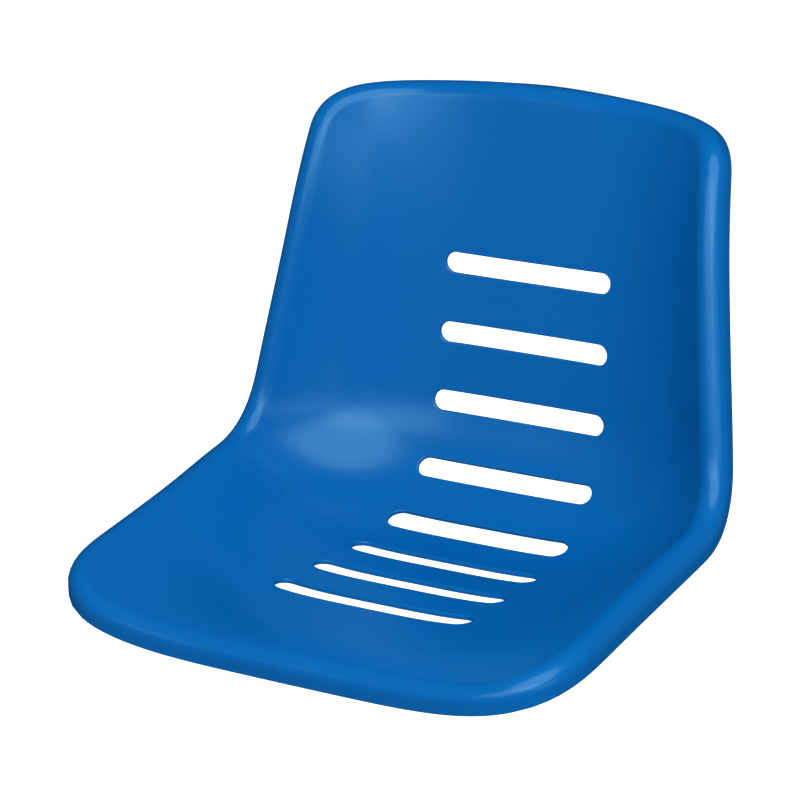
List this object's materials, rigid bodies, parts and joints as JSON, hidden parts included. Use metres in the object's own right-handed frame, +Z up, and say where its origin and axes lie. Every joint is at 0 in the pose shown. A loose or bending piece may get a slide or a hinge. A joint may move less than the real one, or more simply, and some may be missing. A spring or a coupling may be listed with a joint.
{
  "type": "stadium seat",
  "caption": "Moulded plastic stadium seat shell with a dished pan, winged back, rolled rim and round-ended drainage slots, fixed from below by threaded inserts in bosses.",
  "frame": {"origin": "Middle of the four fixing points, on the plane of the boss faces that the seat rests on. The fixing points lie evenly about the middle of the seat's length and width.", "axes": "+Z up, square to the boss faces. -Y is the way the sitter faces, so the back is at +Y. +X is the sitter's left."},
  "size_m": [0.4508, 0.429, 0.3773],
  "materials": {
    "shell_plastic": "satin",
    "insert_brass": "machined"
  },
  "bodies": {
    "root": {"seat_shell": "shell_plastic", "threaded_insert_front_left": "insert_brass", "threaded_insert_front_right": "insert_brass", "threaded_insert_rear_left": "insert_brass", "threaded_insert_rear_right": "insert_brass"}
  },
  "joints": []
}
